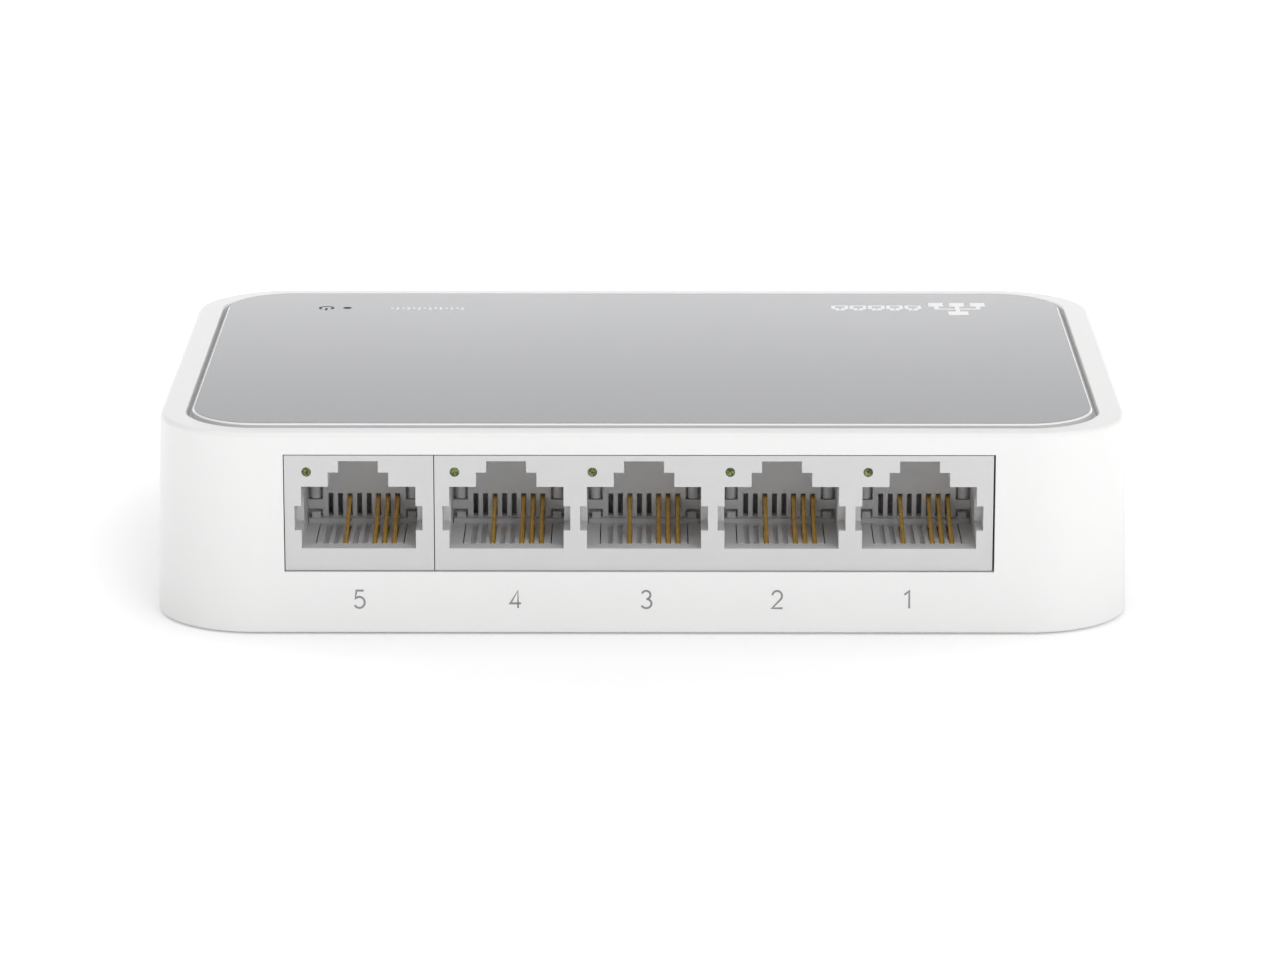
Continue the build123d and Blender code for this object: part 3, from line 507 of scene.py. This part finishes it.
for n in ports:
    portX, pinY, pinZ = jointAt[f"contact_flex_{n}"]
    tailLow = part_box(f"contact_leads_{n}")[0].z / mm
    tubes = []
    for place in wireLook["slots"]:
        x = portX + (place - wireLook["middle"]) * wireLook["pitch"]
        route = contactRoute(tailLow, pinY, pinZ, pinY + wireLook["rows"][place % 2], wireLook)
        tubes.append(wireTube(x, route, wireLook))
    wires = makePiece(f"contact_wires_{n}", tubes, "contactGold", rideOn=None)
    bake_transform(wires)
    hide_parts(f"contact_leads_{n}", f"contact_springs_{n}")
print("contact wires made")


# ---- lamp windows: the rough-cut ends of the light guides
lensLook = {
    "linkRadius": 0.465, "linkRim": 0.04, "linkSag": 0.09,
    "linkDrop": 0.47,            # mm from the top of the light guide to its axis
    "powerRadius": 0.47, "powerRim": 0.02, "powerSag": 0.07,
    "rings": 8, "round": 32,
    "dents": 5, "dent": 0.025,   # uneven facing of the cut end, mm
}


# Dome turned about an axis: at a share s of the radius the height is rim + sag (1 - s^2), less a
# ripple of dent sin(dents a) s (1 - s). It stands on a short straight rim and a flat base.
def domeShape(radius, rim, sag, place, look):
    s = np.linspace(0, 1, look["rings"] + 1)[1:, None]
    a = 2 * np.pi * np.arange(look["round"])[None, :] / look["round"]
    height = rim + sag * (1 - s ** 2) - look["dent"] * np.sin(look["dents"] * a) * s * (1 - s)
    dome = np.stack([radius * s * np.cos(a), radius * s * np.sin(a), height], -1)
    base = dome[-1:].copy()
    base[:, :, 2] = 0
    rings = np.vstack([dome, base])
    co, groups = ringSkin(rings, [[0, 0, rim + sag]], [[0, 0, 0]])
    return place(co[:, :2], co[:, 2]), groups


for n in ports:
    low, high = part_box(f"link_light_guide_{n}")
    lampX, lampY, lampZ = (low.x + high.x) / 2 / mm, low.y / mm, high.z / mm - lensLook["linkDrop"]
    onJack = lambda uv, h: np.stack([lampX + uv[:, 0], lampY - h, lampZ + uv[:, 1]], -1)
    dome = domeShape(lensLook["linkRadius"], lensLook["linkRim"], lensLook["linkSag"], onJack, lensLook)
    makePiece(f"link_window_{n}", [dome], "lensOlive")
low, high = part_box("power_light_guide")
guideX, guideY, guideZ = (low.x + high.x) / 2 / mm, (low.y + high.y) / 2 / mm, high.z / mm
onGuide = lambda uv, h: np.stack([guideX + uv[:, 0], guideY + uv[:, 1], guideZ + h], -1)
dome = domeShape(lensLook["powerRadius"], lensLook["powerRim"], lensLook["powerSag"], onGuide, lensLook)
makePiece("power_window", [dome], "lensDark")
print("lamp windows made")


# ---- printing: thin ink strokes on the front wall, the film and the label
digitLook = {
    "height": 1.88, "stroke": 0.22, "middle": 3.84,
    "places": {5: -29.68, 4: -13.29, 3: 0.45, 2: 14.19, 1: 27.93},
    "draft": 1.5,          # degrees that the wall leans in
    "draftFrom": 0.3,      # mm above the housing's lower edge
    "wide": 0.6,           # of a digit's box, as a share of its height
}
# Each digit in a box one unit high
digitPaths = {
    5: np.vstack([[(0.54, 1.0), (0.14, 1.0)], arc(0.29, 0.32, 0.30, 0.32, 139, -150)]),
    4: [(0.44, 0.0), (0.44, 1.0), (0.01, 0.27), (0.61, 0.27)],
    3: np.vstack([arc(0.29, 0.76, 0.24, 0.24, 160, -90), arc(0.30, 0.265, 0.29, 0.265, 90, -155)[1:]]),
    2: np.vstack([arc(0.30, 0.71, 0.27, 0.29, 172, -38), [(0.02, 0.0), (0.60, 0.0)]]),
    1: [(0.10, 0.78), (0.37, 1.0), (0.37, 0.0)],
}
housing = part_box("upper_housing")
wallFoot = (housing[0].y / mm, housing[0].z / mm + digitLook["draftFrom"])
lean = math.tan(math.radians(digitLook["draft"]))


# Place on the leaning front wall: X and Z as given, Y on the wall less the height
def onFront(uv, h):
    return np.stack([uv[:, 0], wallFoot[0] + (uv[:, 1] - wallFoot[1]) * lean - h, uv[:, 1]], -1)


for n in ports:
    tall = digitLook["height"]
    left = digitLook["places"][n] - digitLook["wide"] / 2 * tall
    corner = np.array([left, digitLook["middle"] - tall / 2])
    path = corner + np.array(digitPaths[n]) * tall
    makePiece(f"port_digit_{n}", [stroke(path, digitLook["stroke"], onFront)], "inkGrey",
              smooth=False)
print("port digits made")

topLook = {
    "power": {"centre": (-36.42, 23.3), "radius": 0.76, "stroke": 0.27, "gap": 84,
              "bar": (0.1, 1.15)},
    "tree": {"centre": (36.1, 22.9), "root": (2.3, 1.9), "leaf": (1.7, 1.9), "line": 0.5,
             "level": 2.2, "spread": 2.4},
    "sockets": {"centre": (26.8, 23.4), "count": 5, "pitch": 2.1, "half": (0.74, 1.05),
                "shoulder": 0.3, "neck": 0.45, "stroke": 0.42},
    "ticks": {"centre": (-24.8, 23.0), "count": 14, "pitch": 0.62, "tall": (1.25, 0.85),
              "foot": -0.6, "stroke": 0.26},
}
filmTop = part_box("top_overlay")[1].z / mm


# Place on the film as read from behind: right is -X and up is -Y from a centre
def onFilm(centre):
    return lambda uv, h: np.stack(
        [centre[0] - uv[:, 0], centre[1] - uv[:, 1], np.full(len(uv), filmTop + h)], -1)


# Power symbol: a ring open at the top, with a bar through the opening
look = topLook["power"]
place = onFilm(look["centre"])
half = look["gap"] / 2
ring = arc(0, 0, look["radius"], look["radius"], 90 + half, 450 - half, 28)
bar = [(0, look["bar"][0]), (0, look["bar"][1])]
makePiece("power_symbol", [stroke(p, look["stroke"], place) for p in (ring, bar)], "inkDark",
          smooth=False)

# Network tree: a box over a bar with three boxes under it
look = topLook["tree"]
place = onFilm(look["centre"])
level, out, line = look["level"], look["spread"], look["line"]
shapes = [stroke([(-look["root"][0] / 2, level), (look["root"][0] / 2, level)], look["root"][1], place)]
shapes.append(stroke([(0, level), (0, 0)], line, place, high=inkLook["along"]))
shapes.append(stroke([(-out - line / 2, 0), (out + line / 2, 0)], line, place, high=inkLook["across"]))
for u in (-out, 0, out):
    shapes.append(stroke([(u, 0), (u, -level)], line, place, high=inkLook["along"]))
    w = look["leaf"][0] / 2
    shapes.append(stroke([(u - w, -level), (u + w, -level)], look["leaf"][1], place))
makePiece("network_symbol", shapes, "inkWhite", smooth=False)

# Row of sockets: each an outline with a step for the latch
look = topLook["sockets"]
place = onFilm(look["centre"])
w, t = look["half"]
neck, shoulder = look["neck"] * w, look["shoulder"] * t
outline = np.array([(-w, -t), (w, -t), (w, shoulder), (neck, shoulder), (neck, t),
                    (-neck, t), (-neck, shoulder), (-w, shoulder)])
middle = (look["count"] - 1) / 2
shapes = [stroke(outline + [(i - middle) * look["pitch"], 0], look["stroke"], place, closed=True)
          for i in range(look["count"])]
makePiece("socket_row", shapes, "inkWhite", smooth=False)

# Row of ticks, long and short by turns
look = topLook["ticks"]
place = onFilm(look["centre"])
middle = (look["count"] - 1) / 2
shapes = []
for i in range(look["count"]):
    u, tall = (i - middle) * look["pitch"], look["tall"][i % 2]
    shapes.append(stroke([(u, look["foot"]), (u, tall + look["foot"])], look["stroke"], place))
makePiece("tick_row", shapes, "inkWhite", smooth=False)
print("film printing made")

labelLook = {
    "inset": 1.6, "line": 0.25,
    "rules": 4, "rulePitch": 3.2, "ruleInset": 2, "ruleLength": 24.0, "ruleLine": 0.5, "shorten": 3.0,
    "polarity": {"centre": (15.0, 0.0), "dot": 0.75, "cup": 1.6, "sign": 0.9, "reach": 4.6},
}
labelLow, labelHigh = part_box("rating_label")


# Place on the label's face, which looks down: X as given, Y reversed so that it reads from below
def onLabel(uv, h):
    return np.stack([uv[:, 0], -uv[:, 1], np.full(len(uv), labelLow.z / mm - h)], -1)


w, t = labelHigh.x / mm - labelLook["inset"], labelHigh.y / mm - labelLook["inset"]
line = labelLook["line"]
shapes = [stroke([(-w, -t), (w, -t), (w, t), (-w, t)], line, onLabel, closed=True)]
middle = (labelLook["rules"] - 1) / 2
for i in range(labelLook["rules"]):
    v = (middle - i) * labelLook["rulePitch"]
    start = -w + labelLook["ruleInset"]
    end = start + labelLook["ruleLength"] - i * labelLook["shorten"]
    shapes.append(stroke([(start, v), (end, v)], labelLook["ruleLine"], onLabel))
look = labelLook["polarity"]
cx, cy = look["centre"]
dot, cup, sign, reach = look["dot"], look["cup"], look["sign"], look["reach"]
shapes.append(stroke(arc(cx, cy, dot / 2, dot / 2, 0, 345, 24), dot, onLabel, closed=True))
shapes.append(stroke(arc(cx, cy, cup, cup, 40, 320, 28), line, onLabel))
shapes.append(stroke([(cx, cy), (cx + reach - sign, cy)], line, onLabel, high=inkLook["across"]))
shapes.append(stroke([(cx - cup, cy), (cx - reach + sign, cy)], line, onLabel, high=inkLook["across"]))
for u in (cx - reach, cx + reach):
    shapes.append(stroke(arc(u, cy, sign, sign, 0, 350, 28), line, onLabel, closed=True))
    shapes.append(stroke([(u - sign / 2, cy), (u + sign / 2, cy)], line, onLabel, high=inkLook["along"]))
u = cx + reach
shapes.append(stroke([(u, cy - sign / 2), (u, cy + sign / 2)], line, onLabel))
makePiece("label_printing", shapes, "inkGrey", smooth=False)
print("label printing made")

# ---- stage, world and lights
# The floor glows a little, from ownLight's first value near the object to its second further out
stageLook = {
    "size": 6.0, "corners": 9, "white": 0.95, "dim": 0.995, "toneScale": 3.0, "rough": 0.9,
    "ownLight": (0.10, 0.55), "glowFrom": 0.045, "glowTo": 0.12,   # metres from the centre
}
light = {
    "worldStrength": 0.53,
    "key": {"place": (0.34, -0.58, 0.4), "aim": (0, 0, 0.01), "size": (0.45, 0.45), "power": 1.35},
    "top": {"place": (0.0, 0.05, 0.9), "aim": (0, 0, 0), "size": (0.9, 0.7), "power": 2.95},
    "back": {"place": (0.0, 0.30, 0.056), "aim": (0, 0, 0.056), "size": (0.9, 0.072), "power": 0.27},
}


def areaLight(name, look):
    data = bpy.data.lights.new(name, "AREA")
    data.shape = "RECTANGLE"
    data.size, data.size_y = look["size"]
    data.energy = look["power"]
    made = bpy.data.objects.new(name, data)
    made.location = look["place"]
    away = made.location.copy()
    away.xyz = np.array(look["place"]) - np.array(look["aim"])
    made.rotation_euler = away.to_track_quat("Z", "Y").to_euler()
    made.visible_camera = False
    bpy.context.scene.collection.objects.link(made)
    return made


floorMat, floorTree, floorShader, floorCoords = newMaterial("floorWhite")
floorTone = noiseNode(floorTree, floorCoords, stageLook["toneScale"])
white = np.full(3, stageLook["white"])
floorColour = ramp(floorTree, floorTone, white * stageLook["dim"], white)
floorTree.links.new(floorColour, floorShader.inputs["Base Color"])
floorShader.inputs["Roughness"].default_value = stageLook["rough"]
floorShader.inputs["Emission Color"].default_value = (1, 1, 1, 1)
distance = floorTree.nodes.new("ShaderNodeVectorMath")
distance.operation = "LENGTH"
floorTree.links.new(floorCoords.outputs["Object"], distance.inputs[0])
glow = floorTree.nodes.new("ShaderNodeMapRange")
glow.interpolation_type = "SMOOTHSTEP"
glow.inputs["From Min"].default_value = stageLook["glowFrom"]
glow.inputs["From Max"].default_value = stageLook["glowTo"]
glow.inputs["To Min"].default_value, glow.inputs["To Max"].default_value = stageLook["ownLight"]
floorTree.links.new(distance.outputs["Value"], glow.inputs["Value"])
floorTree.links.new(glow.outputs["Result"], floorShader.inputs["Emission Strength"])
cuts = stageLook["corners"]
edge = np.linspace(-stageLook["size"] / 2, stageLook["size"] / 2, cuts)
floorX, floorY = np.meshgrid(edge, edge, indexing="ij")
floorCo = np.stack([floorX, floorY, np.zeros_like(floorX)], -1).reshape(-1, 3)
floor = meshObject("floor", floorCo, gridFaces(cuts, cuts), smooth=False)
floor.data.materials.append(floorMat)

world = bpy.data.worlds.new("world")
bpy.context.scene.world = world
world.use_nodes = True
world.node_tree.nodes["Background"].inputs["Color"].default_value = (1, 1, 1, 1)
world.node_tree.nodes["Background"].inputs["Strength"].default_value = light["worldStrength"]
for name in ("key", "top", "back"):
    areaLight(name + "Light", light[name])
print("stage lit")
